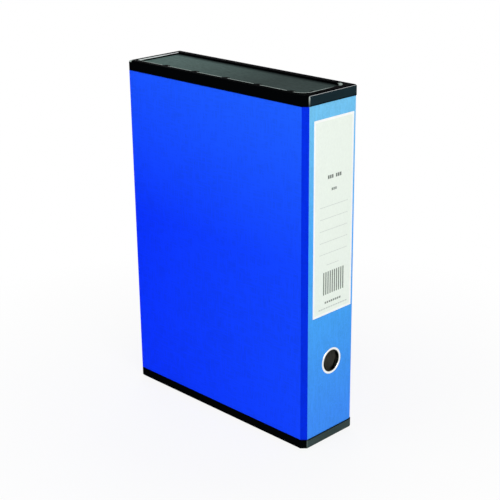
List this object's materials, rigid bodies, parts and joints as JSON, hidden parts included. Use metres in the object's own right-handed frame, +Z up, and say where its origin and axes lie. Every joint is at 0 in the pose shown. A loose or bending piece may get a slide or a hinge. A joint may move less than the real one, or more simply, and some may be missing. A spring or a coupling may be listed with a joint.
{
  "type": "box file",
  "caption": "Upright box file for foolscap papers: paper-covered board case with moulded black ends, hinged lid, press-button catch, finger ring and sprung paper clamp.",
  "frame": {"origin": "middle of the foot: the centre of the bounding box at floor level", "axes": "+Z up along the standing height, +X out of the spine, -Y out of the base board, +Y out of the lid"},
  "size_m": [0.256, 0.074, 0.37],
  "materials": {
    "moulding": "black moulded polystyrene",
    "end_panel": "matte dark grey-green faced board",
    "grey_board": "pressed grey board",
    "cover_paper": "bright blue embossed cover paper",
    "lining_paper": "off-white lining paper",
    "label_paper": "white uncoated label paper",
    "nickel": "bright nickel plate on steel",
    "spring_steel": "zinc plated spring steel",
    "button_plastic": "black moulded plastic"
  },
  "bodies": {
    "case": {"bottom_end_frame": "moulding", "top_end_frame": "moulding", "bottom_end_panel": "end_panel", "top_end_panel": "end_panel", "fore_edge_board": "grey_board", "base_board": "grey_board", "corner_board": "grey_board", "spine_board": "grey_board", "case_cover": "cover_paper", "case_lining": "lining_paper", "spine_label": "label_paper", "finger_ring": "nickel", "ring_washer": "nickel", "clamp_plate": "nickel", "clamp_plate_rivet_1": "nickel", "clamp_plate_rivet_2": "nickel", "clamp_plate_rivet_3": "nickel", "clamp_plate_rivet_4": "nickel", "clamp_pin": "spring_steel", "clamp_spring_upper": "spring_steel", "clamp_spring_lower": "spring_steel", "catch_plate": "nickel", "catch_case": "nickel", "catch_rivet_1": "nickel", "catch_rivet_2": "nickel", "catch_spring": "spring_steel"},
    "lid": {"lid_board": "grey_board", "lid_cover": "cover_paper", "lid_lining": "lining_paper", "catch_striker": "nickel", "striker_rivet_1": "nickel", "striker_rivet_2": "nickel"},
    "clamp": {"clamp_arm": "nickel", "clamp_bar": "nickel", "clamp_bar_rivet_1": "nickel", "clamp_bar_rivet_2": "nickel"},
    "button": {"catch_button": "button_plastic"}
  },
  "joints": [
    {"name": "lid_hinge", "type": "hinge", "parent": "case", "child": "lid", "pos_m": [0.12755, 0.03335, 0.185], "axis": [0, 0, -1], "range_deg": [0, 180]},
    {"name": "clamp_pivot", "type": "hinge", "parent": "case", "child": "clamp", "pos_m": [0.04, -0.02635, 0.185], "axis": [0, 0, -1], "range_deg": [0, 90], "stiffness_Nm_per_rad": 0.06, "springref_deg": -34.38, "deforming": ["clamp_spring_upper", "clamp_spring_lower"]},
    {"name": "catch_press", "type": "slide", "parent": "case", "child": "button", "axis": [1, 0, 0], "range_m": [0, 0.0025], "stiffness_N_per_m": 400, "springref_m": -0.001, "deforming": ["catch_spring"]}
  ]
}
